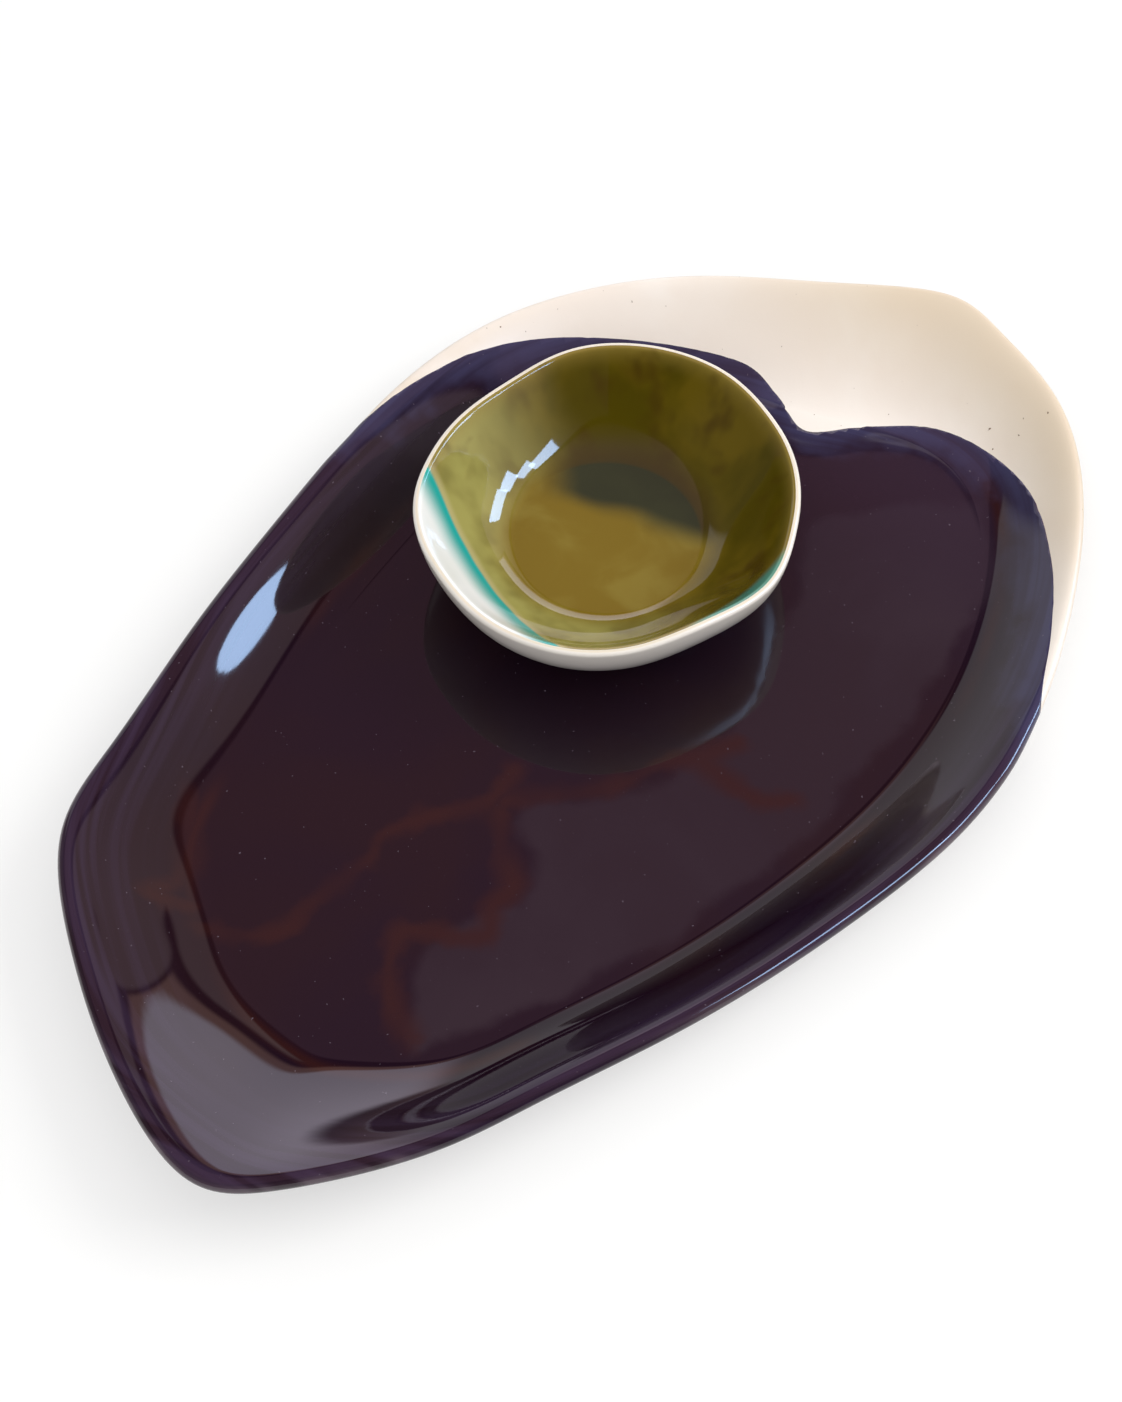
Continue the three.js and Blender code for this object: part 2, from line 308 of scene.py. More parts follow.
@dataclass
class WallSection:
    """The cut through a dish's wall on all its spokes, as rows of (out, up).

    Attributes:
        floor_end: where the flat floor ends and the soft bend into the inside begins.
        floor_edge: where the floor and the inside would meet with no such bend.
        lip: the middle of the round lip.
        lip_radius: half of the lip's thickness.
        flare: length of the inside's bend into the lip, against its straight span.
        inside_angle: slope of the inside at the lip.
        outside_angle: slope of the outside at the lip.
        base_edge: the edge of the flat base.
        foot_round: width of the soft bend at the base.
    """

    floor_end: np.ndarray
    floor_edge: np.ndarray
    lip: np.ndarray
    lip_radius: float
    flare: float
    inside_angle: np.ndarray
    outside_angle: np.ndarray
    base_edge: np.ndarray
    foot_round: float

    @staticmethod
    def bezier(handles: tuple[np.ndarray, ...], t: float) -> np.ndarray:
        """Gives the point of a four-handled curve at t, on every spoke."""
        a, b, c, d = handles
        return (1 - t) ** 3 * a + 3 * t * (1 - t) ** 2 * b + 3 * t**2 * (1 - t) * c + t**3 * d

    def stations(self, steps: SectionSteps) -> np.ndarray:
        """Cuts the section into stations, from the floor's edge over the lip to the base.

        Args:
            steps: how finely each stretch is cut.

        Returns:
            The stations' (out, up), by station and spoke.
        """
        inside_top = self.lip + self.lip_radius * heading(self.inside_angle + math.pi / 2)
        outside_top = self.lip + self.lip_radius * heading(self.outside_angle - math.pi / 2)
        span = np.linalg.norm(inside_top - self.floor_edge, axis=1)[:, None]
        sideways = np.array((1.0, 0.0))
        inside = (
            self.floor_end,
            self.floor_edge,
            inside_top - self.flare * span * heading(self.inside_angle),
            inside_top,
        )
        outside = (
            outside_top,
            outside_top - HANDLE_SHARE * span * heading(self.outside_angle),
            self.base_edge + self.foot_round * sideways,
            self.base_edge,
        )
        rings = [self.bezier(inside, (i / steps.inside) ** CROWDING) for i in range(steps.inside + 1)]
        for i in range(1, steps.lip + 1):
            share = i / steps.lip
            slope = self.inside_angle + (self.outside_angle - self.inside_angle) * share
            rings.append(self.lip + self.lip_radius * heading(slope + math.pi * (0.5 - share)))
        for i in range(1, steps.outside + 1):
            rings.append(self.bezier(outside, 1 - (1 - i / steps.outside) ** CROWDING))
        return np.stack(rings)


@dataclass
class Cage:
    """Rings of vertices that a dish is drawn over.

    Attributes:
        places: the vertices' places, by ring and spoke, from the middle of the floor to that of the base.
        values: the values kept on them, by ring and spoke.
    """

    places: np.ndarray
    values: dict[Field, np.ndarray]

    def upper(self, highest_wall: float) -> "Cage":
        """Gives the rings from the floor's middle up to this wall value."""
        count = 1 + int(np.max(np.nonzero(self.values[Field.WALL][:, 0] <= highest_wall + TINY)))
        return Cage(self.places[:count], {key: rows[:count] for key, rows in self.values.items()})


@contextmanager
def editing() -> Iterator[None]:
    """Goes into edit mode for the lines under it."""
    bpy.ops.object.mode_set(mode="EDIT")
    yield
    bpy.ops.object.mode_set(mode="OBJECT")


class Piece:
    """One piece of a dish, with the steps by which it is modelled in edit mode.

    Attributes:
        thing: the piece itself.
    """

    def __init__(self, name: str, cage: Cage, sealed: bool) -> None:
        """Raises a tube of plain rings, draws each ring out to its own shape and closes the ends.

        Args:
            name: the piece's name.
            cage: where the rings go. The first one is closed by a pole.
            sealed: whether the last ring is closed by a pole too.
        """
        ring_count, spoke_count, _ = cage.places.shape
        bpy.ops.object.select_all(action="DESELECT")
        bpy.ops.mesh.primitive_cylinder_add(
            vertices=spoke_count,
            radius=1,
            depth=ring_count - 1,
            location=(0, 0, (ring_count - 1) / 2),
            end_fill_type="NOTHING",
        )
        self.thing = bpy.context.active_object
        self.thing.name = name
        self.mesh.name = name
        bpy.ops.object.transform_apply(location=True)
        levels = [round(vertex.co.z) for vertex in self.mesh.vertices]
        upright = [e.index for e in self.mesh.edges if levels[e.vertices[0]] != levels[e.vertices[1]]]
        self.select("EDGE", upright)
        with editing():
            bpy.ops.mesh.subdivide(number_cuts=ring_count - 2)
        rings = [[0] * spoke_count for _ in range(ring_count)]
        for vertex in self.mesh.vertices:
            spoke = round(math.atan2(vertex.co.y, vertex.co.x) * spoke_count / math.tau) % spoke_count
            rings[round(vertex.co.z)][spoke] = vertex.index
        order = np.array(rings).ravel()
        places = np.zeros((len(order), 3))
        places[order] = cage.places.reshape(-1, 3)
        self.mesh.vertices.foreach_set("co", places.ravel())
        for key, rows in cage.values.items():
            self.keep(key, rows.ravel()[np.argsort(order)])
        self.close_end(rings[0])
        if sealed:
            self.close_end(rings[-1])
        self.face_out()

    @property
    def mesh(self) -> bpy.types.Mesh:
        """The piece's mesh."""
        return self.thing.data

    def select(self, kind: str, numbers: list[int]) -> None:
        """Selects some vertices or edges, and nothing else.

        Args:
            kind: VERT or EDGE.
            numbers: the numbers of what is selected.
        """
        with editing():
            bpy.ops.mesh.select_mode(type=kind)
            bpy.ops.mesh.select_all(action="DESELECT")
        rows = self.mesh.vertices if kind == "VERT" else self.mesh.edges
        for number in numbers:
            rows[number].select = True

    def close_end(self, ring: list[int]) -> None:
        """Closes one end of the tube by drawing its last ring together at a pole.

        Args:
            ring: the numbers of the ring's vertices.
        """
        self.select("VERT", ring)
        with editing():
            bpy.ops.mesh.extrude_region_move()
            bpy.ops.mesh.merge(type="CENTER")
        pole = len(self.mesh.vertices) - 1
        for key in Field:
            kept = self.mesh.attributes.get(key.value)
            if kept:
                kept.data[pole].value = sum(kept.data[i].value for i in ring) / len(ring)

    def face_out(self) -> None:
        """Turns the faces outwards, so that the floor looks up."""
        with editing():
            bpy.ops.mesh.select_all(action="SELECT")
            bpy.ops.mesh.normals_make_consistent(inside=False)
        wall = self.mesh.attributes[Field.WALL.value].data
        floor = [f for f in self.mesh.polygons if all(wall[i].value <= 0 for i in f.vertices)]
        if sum(face.normal.z * face.area for face in floor) < 0:
            with editing():
                bpy.ops.mesh.flip_normals()

    def soften(self) -> None:
        """Rounds the piece off with one level of subdivision, and shades it smooth."""
        smooth = self.thing.modifiers.new("Soft", "SUBSURF")
        smooth.levels = 1
        smooth.render_levels = 1
        bpy.ops.object.modifier_apply(modifier=smooth.name)
        bpy.ops.object.shade_smooth()

    def thicken(self, thickness: float) -> None:
        """Gives a sheet a thickness behind its face."""
        shell = self.thing.modifiers.new("Thick", "SOLIDIFY")
        shell.thickness = thickness
        shell.offset = -1
        shell.use_rim = True
        bpy.ops.object.modifier_apply(modifier=shell.name)

    def rows(self, name: str) -> np.ndarray:
        """Gives the vertices' places or normals, by Blender's name, one row each."""
        numbers = np.zeros(len(self.mesh.vertices) * 3)
        self.mesh.vertices.foreach_get(name, numbers)
        return numbers.reshape(-1, 3)

    def values(self, key: Field) -> np.ndarray:
        """Gives a value that is kept on the vertices."""
        numbers = np.zeros(len(self.mesh.vertices))
        self.mesh.attributes[key.value].data.foreach_get("value", numbers)
        return numbers

    def keep(self, key: Field, numbers: np.ndarray) -> None:
        """Keeps a new value on the vertices, one number for each."""
        kept = self.mesh.attributes.new(key.value, "FLOAT", "POINT")
        kept.data.foreach_set("value", numbers.astype(np.float32))

    def lift(self, heights: np.ndarray) -> None:
        """Moves each vertex out along its normal, by a height of its own."""
        moved = self.rows("co") + self.rows("normal") * heights[:, None]
        self.mesh.vertices.foreach_set("co", moved.ravel())
        self.mesh.update()

    def trim(self, key: Field) -> None:
        """Cuts a sheet along the line where a value on it passes zero, and takes away the side below zero."""
        sheet = bmesh.new()
        sheet.from_mesh(self.mesh)
        layer = sheet.verts.layers.float[key.value]

        def crossed(face: bmesh.types.BMFace) -> bool:
            """Tells whether the line passes through a face."""
            numbers = [vertex[layer] for vertex in face.verts]
            return min(numbers) < 0 < max(numbers)

        bmesh.ops.triangulate(sheet, faces=[face for face in sheet.faces if crossed(face)])
        for edge in list(sheet.edges):
            start, end = edge.verts
            if start[layer] * end[layer] < 0:
                share = start[layer] / (start[layer] - end[layer])
                _, cut = bmesh.utils.edge_split(edge, start, share)
                cut[layer] = 0
        for face in list(sheet.faces):
            cuts = [vertex for vertex in face.verts if vertex[layer] == 0]
            if crossed(face) and len(cuts) == 2:
                bmesh.utils.face_split(face, cuts[0], cuts[1])
        bare = [face for face in sheet.faces if sum(vertex[layer] for vertex in face.verts) < 0]
        bmesh.ops.delete(sheet, geom=bare, context="FACES")
        sheet.to_mesh(self.mesh)
        sheet.free()
        self.mesh.update()


class Board:
    """The nodes of a material or of the room, with short ways to add them and join them."""

    def __init__(self, owner: bpy.types.Material | bpy.types.World, coordinates: str = "Object") -> None:
        """Starts on a new material, or on the room.

        Args:
            owner: what the nodes are for.
            coordinates: where patterns are read, by Blender's name.
        """
        self.owner = owner
        owner.use_nodes = True
        self.tree = owner.node_tree
        self.place = self.add("ShaderNodeTexCoord").outputs[coordinates]

    @classmethod
    def material(cls, name: str) -> "Board":
        """Starts a new material of this name."""
        return cls(bpy.data.materials.new(name))

    def add(self, kind: str, feeds: dict[Any, Feed] | None = None, **settings: Any) -> bpy.types.Node:
        """Adds a node.

        Args:
            kind: Blender's name for it.
            feeds: what goes into its inputs, a value or another node's output, by name or number.
            settings: its settings.

        Returns:
            The node.
        """
        node = self.tree.nodes.new(kind)
        for setting, value in settings.items():
            setattr(node, setting, value)
        for key, feed in (feeds or {}).items():
            self.join(feed, node.inputs[key])
        return node

    def join(self, feed: Feed, socket: bpy.types.NodeSocket) -> None:
        """Puts a value, or another node's output, into an input.

        Args:
            feed: the value or the output.
            socket: the input.
        """
        if isinstance(feed, bpy.types.NodeSocket):
            self.tree.links.new(feed, socket)
        elif isinstance(feed, tuple) and socket.type == "RGBA":
            socket.default_value = (*feed, 1)
        else:
            socket.default_value = feed

    def noise(self, scale: float, detail: float = 3, distortion: float = 0, place: Feed = None) -> Feed:
        """Adds cloudy noise round one half, of so many clouds to a metre, layered and stirred."""
        feeds = {
            "Vector": place or self.place,
            "Scale": scale,
            "Detail": detail,
            "Distortion": distortion,
        }
        return self.add("ShaderNodeTexNoise", feeds).outputs[0]

    def drift(self, scale: float, low: Feed, high: Feed, detail: float = 3, start: float = 0.3) -> Feed:
        """Wanders between two numbers, in so many swings to a metre."""
        return self.ramp(self.noise(scale, detail), start, 1 - start, low, high)

    def stretched(self, stretch: Triple) -> Feed:
        """Gives the piece's coordinates, each multiplied by a number."""
        return self.add("ShaderNodeMapping", {"Vector": self.place, "Scale": stretch}).outputs[0]

    def axis(self, letter: str) -> Feed:
        """Gives one of the coordinates."""
        return self.add("ShaderNodeSeparateXYZ", {0: self.place}).outputs[letter]

    def along(self, way: Triple) -> Feed:
        """Tells how far along a direction a place lies."""
        feeds = {0: self.place, 1: way}
        return self.add("ShaderNodeVectorMath", feeds, operation="DOT_PRODUCT").outputs["Value"]

    def field(self, key: Field) -> Feed:
        """Reads a value that is kept on the piece's vertices."""
        return self.add("ShaderNodeAttribute", attribute_name=key.value).outputs["Fac"]

    def ramp(self, value: Feed, start: Feed, end: Feed, low: Feed = 0.0, high: Feed = 1.0) -> Feed:
        """Eases from low to high while a value goes from start to end."""
        feeds = {"Value": value, "From Min": start, "From Max": end, "To Min": low, "To Max": high}
        return self.add("ShaderNodeMapRange", feeds, interpolation_type="SMOOTHSTEP").outputs[0]

    def math(self, operation: str, first: Feed, second: Feed) -> Feed:
        """Adds a sum of two values, by Blender's name for it."""
        return self.add("ShaderNodeMath", {0: first, 1: second}, operation=operation).outputs[0]

    def times(self, first: Feed, second: Feed) -> Feed:
        """Multiplies two values."""
        return self.math("MULTIPLY", first, second)

    def apart(self, value: Feed, mark: float) -> Feed:
        """Tells how far a value lies from a mark, to either side."""
        return self.math("ABSOLUTE", self.math("SUBTRACT", value, mark), 0.0)

    def blend(self, share: Feed, first: Feed, second: Feed) -> Feed:
        """Mixes two colours, with this share of the second one."""
        feeds = {0: share, 6: first, 7: second}
        return self.add("ShaderNodeMix", feeds, data_type="RGBA").outputs[2]

    def bump(self, height: Feed, distance: float, under: Feed = None) -> Feed:
        """Adds relief.

        Args:
            height: the relief, from 0 to 1.
            distance: how high it stands, in metres.
            under: relief that it lies on, or None.

        Returns:
            The bumped normal.
        """
        feeds = {"Height": height, "Distance": distance}
        if under is not None:
            feeds["Normal"] = under
        return self.add("ShaderNodeBump", feeds).outputs[0]

    def finish(self, **feeds: Feed) -> bpy.types.Material:
        """Joins what was made to the shader.

        Args:
            feeds: what goes into the shader's inputs, with their names' spaces as underscores.

        Returns:
            The finished material.
        """
        shader = self.tree.nodes["Principled BSDF"]
        for key, feed in feeds.items():
            self.join(feed, shader.inputs[key.replace("_", " ")])
        return self.owner

    def eye(self) -> Feed:
        """Gives 1 to the eye, and 0 elsewhere."""
        return self.add("ShaderNodeLightPath").outputs["Is Camera Ray"]

    def mirrored(self) -> Feed:
        """Gives 1 in reflections and through clear pieces, and 0 elsewhere."""
        path = self.add("ShaderNodeLightPath").outputs
        return self.math("ADD", path["Is Glossy Ray"], path["Is Transmission Ray"])


@dataclass(frozen=True)
class CreamClay:
    """The platter's bare end: cream stoneware under a thin satin wash.

    Attributes:
        cream: its usual colour.
        pale: its lightest clouds, and painted light on the well's floor.
        warm: its warmest clouds, and the tone of the far end's rim, partly its own tan and partly painted
            shade.
        shade_side: the way to the end whose rim is painted in shade.
        shade_start, shade_end: how far that way the painted shade begins and is full.
        speck: iron specks.
    """

    cream: Colour = (0.88, 0.79, 0.71)
    pale: Colour = (0.94, 0.88, 0.82)
    warm: Colour = (0.75, 0.62, 0.46)
    shade_side: Triple = (0.95, -0.31, 0.0)
    shade_start: float = 120 * MM
    shade_end: float = 200 * MM
    speck: Colour = (0.20, 0.12, 0.07)

    def build(self) -> bpy.types.Material:
        """Makes the material."""
        board = Board.material("cream_clay")
        wall = board.field(Field.WALL)
        colour = board.blend(board.ramp(board.noise(13, 4, 0.4), 0.46, 0.7), self.cream, self.pale)
        colour = board.blend(board.ramp(board.noise(24, 5), 0.55, 0.8, 0, 0.6), colour, self.warm)
        # Painted light: the well's floor and the foot of the rim are painted paler.
        colour = board.blend(board.ramp(wall, 0.0, 0.5, 0.8, 0.0), colour, self.pale)
        # Painted shade: the far end's rim is painted darker and warmer, partly the clay's own tan.
        side = board.ramp(board.along(self.shade_side), self.shade_start, self.shade_end, 0.0, 0.9)
        colour = board.blend(board.times(side, board.ramp(wall, 0.2, 0.8)), colour, self.warm)
        colour = board.blend(board.ramp(board.noise(520, 1), 0.78, 0.82), colour, self.speck)
        grain = board.bump(board.noise(1400, 2), 0.02 * MM)
        relief = board.bump(board.noise(60, 3), 0.15 * MM, grain)
        return board.finish(Base_Color=colour, Roughness=board.drift(90, 0.32, 0.44), Normal=relief)


@dataclass(frozen=True)
class AubergineGlaze:
    """The platter's glossy glaze: aubergine, violet where it is thin, navy where it runs out.

    Attributes:
        aubergine: its usual colour.
        brown: clouds in the well.
        pale_cell_tone: the pale cell of the well.
        violet: the rim, the lip and the far end, where it is thin.
        mauve: the lip's top, partly where the glaze thins and partly painted sheen.
        navy: its edge on the bare clay.
        rust: reddish-brown lines in the well and along its crease.
        speck: pale specks.
        edge: width of the navy edge.
        violet_start, violet_end: how far along the platter the violet end begins and is full.
        lip_wall: the wall value of the lip's top.
        streaks_along, streaks_across: streaks to a metre along the rim and across it.
        refraction: its index of refraction.
    """

    aubergine: Colour = (0.010, 0.0030, 0.0085)
    brown: Colour = (0.013, 0.0038, 0.0065)
    pale_cell_tone: Colour = (0.026, 0.0155, 0.0225)
    violet: Colour = (0.034, 0.020, 0.045)
    mauve: Colour = (0.15, 0.105, 0.125)
    navy: Colour = (0.045, 0.042, 0.098)
    rust: Colour = (0.030, 0.0070, 0.0055)
    speck: Colour = (0.16, 0.13, 0.17)
    edge: float = 15 * MM
    violet_start: float = 80 * MM
    violet_end: float = 160 * MM
    lip_wall: float = 0.99
    streaks_along: float = 9.0
    streaks_across: float = 260.0
    refraction: float = 1.46

    def build(self) -> bpy.types.Material:
        """Makes the material."""
        board = Board.material("aubergine_glaze")
        wall = board.field(Field.WALL)
        clouds = board.noise(11, 4, 0.5)
        streaks = self.streaks(board)
        colour = board.blend(board.ramp(clouds, 0.4, 0.65), self.aubergine, self.brown)
        cell = board.math("ADD", board.field(Field.CELL), board.drift(45, -3 * MM, 3 * MM, start=0.25))
        pale_cell_tone = board.times(board.ramp(cell, -1 * MM, 6 * MM), board.ramp(clouds, 0.3, 0.6, 1.0, 0.6))
        colour = board.blend(pale_cell_tone, colour, self.pale_cell_tone)
        end = board.ramp(board.axis("X"), self.violet_start, self.violet_end, 0.0, 0.35)
        colour = board.blend(end, colour, self.violet)
        thin = board.times(board.ramp(wall, 0.35, 0.95), board.ramp(streaks, 0.35, 0.65, 0.15, 1.0))
        colour = board.blend(thin, colour, self.violet)
        # Partly painted sheen: the lip's top is painted a lighter mauve, partly where the glaze thins over
        # it.
        lip_thin_and_sheen = board.ramp(board.apart(wall, self.lip_wall), 0.0, 0.12, 0.75, 0.0)
        lip_thin_and_sheen = board.times(lip_thin_and_sheen, board.ramp(streaks, 0.35, 0.65, 0.2, 1.0))
        colour = board.blend(board.times(lip_thin_and_sheen, board.ramp(clouds, 0.35, 0.6)), colour, self.mauve)
        colour = board.blend(self.veins(board), colour, self.rust)
        reach = board.drift(60, 0.6 * self.edge, 1.2 * self.edge)
        edge = board.ramp(board.field(Field.DIP), 0.0, reach, 1.0, 0.0)
        edge = board.times(edge, board.ramp(streaks, 0.3, 0.6, 0.5, 1.0))
        colour = board.blend(edge, colour, self.navy)
        colour = board.blend(board.ramp(board.noise(650, 1), 0.76, 0.8, 0.0, 0.5), colour, self.speck)
        roughness = board.drift(35, 0.03, 0.05)
        ripple = board.bump(board.times(streaks, board.ramp(wall, 0.05, 0.4)), 0.005 * MM)
        return board.finish(Base_Color=colour, Roughness=roughness, Normal=ripple, IOR=self.refraction)

    def streaks(self, board: Board) -> Feed:
        """Draws fine lines that follow the rim.

        Args:
            board: the material's nodes.

        Returns:
            A value round one half.
        """
        along = [board.times(board.axis(letter), self.streaks_along) for letter in "XY"]
        across = board.times(board.field(Field.CREASE), self.streaks_across)
        place = board.add("ShaderNodeCombineXYZ", {0: along[0], 1: along[1], 2: across}).outputs[0]
        return board.noise(1, 3, 0.3, place)

    def veins(self, board: Board) -> Feed:
        """Draws the rust lines of the well and of its crease.

        Args:
            board: the material's nodes.

        Returns:
            How much rust there is.
        """
        line = board.ramp(board.field(Field.VEIN), 0.0, board.drift(70, 3 * MM, 9 * MM), 0.9, 0.0)
        line = board.times(line, board.ramp(board.noise(28, 2), 0.3, 0.6, 0.4, 1.0))
        seam = board.ramp(board.apart(board.field(Field.CREASE), 3 * MM), 0.0, 4 * MM, 0.8, 0.0)
        broken = board.ramp(board.noise(16, 2), 0.42, 0.62)
        return board.math("MAXIMUM", line, board.times(seam, broken))


@dataclass(frozen=True)
class WhitePorcelain:
    """The dip bowl's bare clay: warm white, cream on its lip.

    Attributes:
        white: its usual colour.
        shade: faint clouds.
        cream: the lip, where the clay shows its own colour.
        foot: the outside near the base, painted greyer: painted shade.
        lip_wall: the wall value of the lip's edge.
    """

    white: Colour = (0.92, 0.87, 0.81)
    shade: Colour = (0.82, 0.77, 0.70)
    cream: Colour = (0.80, 0.70, 0.54)
    foot: Colour = (0.42, 0.38, 0.37)
    lip_wall: float = 0.97

    def build(self) -> bpy.types.Material:
        """Makes the material."""
        board = Board.material("white_porcelain")
        wall = board.field(Field.WALL)
        colour = board.blend(board.ramp(board.noise(40, 4), 0.45, 0.75), self.white, self.shade)
        lip = board.ramp(board.apart(wall, self.lip_wall), 0.0, 0.1, 0.8, 0.0)
        colour = board.blend(lip, colour, self.cream)
        # Painted shade: the outside darkens towards the base.
        colour = board.blend(board.ramp(wall, 1.4, 1.85, 0.0, 0.8), colour, self.foot)
        grain = board.bump(board.noise(1500, 2), 0.015 * MM)
        relief = board.bump(board.noise(70, 2), 0.12 * MM, grain)
        return board.finish(Base_Color=colour, Roughness=board.drift(80, 0.14, 0.22), Normal=relief)


@dataclass(frozen=True)
class OliveGlaze:
    """The dip bowl's glossy glaze: olive, turquoise where it runs out, clear over a white crescent.

    Attributes:
        olive: the floor.
        honey: clouds on the floor.
        deep: the walls, painted darker than the floor: painted shade.
        brown: runs down the walls, and spots under the lip.
        dark_patch: a dark, bluish patch on one side of the floor.
        green: the walls near the crescent, partly where the glaze thins and partly painted light on this
            side, which faces the lamps.
        amber: a band under the lip.
        straw: a thin line along its edge.
        turquoise: its fringe.
        white: the crescent that was held out of the glaze.
        middle: the bowl's middle, seen from above.
        bearing: degrees from +X of the crescent.
        reach: how far from the middle the olive ends on that side.
        patch_bearing: degrees from +X of the pool.
        patch_reach: how far from the middle it begins on that side.
        patch_end_bearing: degrees from +X of the side on which it ends.
        patch_end_reach: how far from the middle it ends there.
        spill_bearing: degrees from +X of a second fringe, under the lip.
        spill_reach: how far from the middle that begins.
        waver: how far such a line wavers to each side.
        run_stretch: how many runs there are to a metre along each axis.
        refraction: its index of refraction.
    """

    olive: Colour = (0.19, 0.125, 0.008)
    honey: Colour = (0.25, 0.19, 0.030)
    deep: Colour = (0.072, 0.053, 0.002)
    brown: Colour = (0.060, 0.034, 0.003)
    dark_patch: Colour = (0.006, 0.021, 0.011)
    green: Colour = (0.37, 0.34, 0.10)
    amber: Colour = (0.30, 0.215, 0.045)
    straw: Colour = (0.55, 0.47, 0.24)
    turquoise: Colour = (0.020, 0.40, 0.36)
    white: Colour = (0.93, 0.95, 0.94)
    middle: tuple[float, float] = BOWL_MIDDLE
    bearing: float = 157
    reach: float = 47 * MM
    patch_bearing: float = 19
    patch_reach: float = 12.5 * MM
    patch_end_bearing: float = 126
    patch_end_reach: float = 20 * MM
    spill_bearing: float = 262
    spill_reach: float = 57 * MM
    waver: float = 1.2 * MM
    run_stretch: Triple = (75, 75, 24)
    refraction: float = 1.5

    def build(self) -> bpy.types.Material:
        """Makes the material."""
        board = Board.material("olive_glaze")
        wall = board.field(Field.WALL)
        past = self.past_a_line(board, self.bearing, self.reach)
        floor = board.blend(board.ramp(board.noise(45, 4, 0.5), 0.4, 0.7, 0.0, 0.6), self.olive, self.honey)
        patch_share = self.past_a_line(board, self.patch_bearing, self.patch_reach)
        patch_share = board.math("ADD", patch_share, board.drift(28, -4 * MM, 4 * MM, 1, 0.25))
        ended = self.past_a_line(board, self.patch_end_bearing, self.patch_end_reach)
        ended = board.ramp(ended, -12 * MM, 8 * MM, 0.9, 0.0)
        patch_share = board.times(board.ramp(patch_share, -6 * MM, 5 * MM), ended)
        floor = board.blend(patch_share, floor, self.dark_patch)
        # Painted shade: the walls are painted in the darker deep tone.
        sides = board.blend(board.ramp(board.noise(30, 3, 0.4), 0.4, 0.65, 0.0, 0.45), self.deep, self.olive)
        runs = board.noise(1, 2, 0.0, board.stretched(self.run_stretch))
        sides = board.blend(board.ramp(runs, 0.48, 0.72, 0.0, 0.8), sides, self.brown)
        # Partly painted light: the walls towards the crescent face the lamps and are painted lighter, partly
        # where the glaze thins.
        thin = board.times(board.ramp(past, -65 * MM, -8 * MM), board.ramp(runs, 0.4, 0.75, 1.0, 0.6))
        sides = board.blend(thin, sides, self.green)
        colour = board.blend(board.ramp(wall, 0.05, 0.45), floor, sides)
        low = board.times(board.ramp(wall, 0.04, 0.14), board.ramp(wall, 0.2, 0.4, 0.6, 0.0))
        colour = board.blend(board.times(patch_share, low), colour, self.brown)
        colour = board.blend(board.ramp(wall, 0.68, 0.84, 0.0, 0.75), colour, self.amber)
        spots = board.ramp(board.noise(85, 2), 0.56, 0.74, 0.0, 0.4)
        colour = board.blend(board.times(spots, board.ramp(wall, 0.45, 0.75)), colour, self.brown)
        colour = board.blend(board.ramp(past, -3.5 * MM, -0.8 * MM, 0.0, 0.6), colour, self.straw)
        colour = board.blend(board.ramp(past, -0.9 * MM, 0.5 * MM), colour, self.turquoise)
        colour = board.blend(board.ramp(past, 1.0 * MM, 10 * MM), colour, self.white)
        spill = self.past_a_line(board, self.spill_bearing, self.spill_reach)
        colour = board.blend(board.ramp(spill, 0.0, 4 * MM, 0.0, 0.6), colour, self.turquoise)
        roughness = board.drift(60, 0.03, 0.06)
        ripple = board.bump(board.noise(70, 2), 0.04 * MM)
        return board.finish(Base_Color=colour, Roughness=roughness, Normal=ripple, IOR=self.refraction)

    def past_a_line(self, board: Board, bearing: float, reach: float) -> Feed:
        """Measures how far past a wavering line across the bowl a place lies.

        Args:
            board: the material's nodes.
            bearing: degrees from +X of the side that the line lies on.
            reach: how far from the bowl's middle it lies.

        Returns:
            The distance in metres, below zero on the middle's side.
        """
        turn = math.radians(bearing)
        out = (math.cos(turn), math.sin(turn), 0)
        edge = out[0] * self.middle[0] + out[1] * self.middle[1] + reach
        wavering = board.drift(25, edge - self.waver, edge + self.waver, 2, 0.25)
        return board.math("SUBTRACT", board.along(out), wavering)


@dataclass(frozen=True)
class StudioFloor:
    """The pale floor, which keeps the shadow and shows white to the eye.

    Attributes:
        white: its colour.
        glow: how much is added to it for the eye and in reflections.
        far_glow: how much is added far off, where less light falls on it.
        near_end, far_start: where the one ends and the other begins.
    """

    white: Colour = (0.52, 0.52, 0.52)
    glow: float = 0.47
    far_glow: float = 0.64
    near_end: float = 0.6
    far_start: float = 1.8

    def build(self) -> bpy.types.Material:
        """Makes the material."""
        board = Board.material("studio_floor")
        away = board.add("ShaderNodeVectorMath", {0: board.place}, operation="LENGTH").outputs["Value"]
        glow = board.ramp(away, self.near_end, self.far_start, self.glow, self.far_glow)
        seen = board.math("ADD", board.eye(), board.mirrored())
        return board.finish(
            Base_Color=self.white,
            Roughness=0.9,
            Specular_IOR_Level=0.0,
            Emission_Color=(1.0, 1.0, 1.0),
            Emission_Strength=board.times(seen, glow),
        )


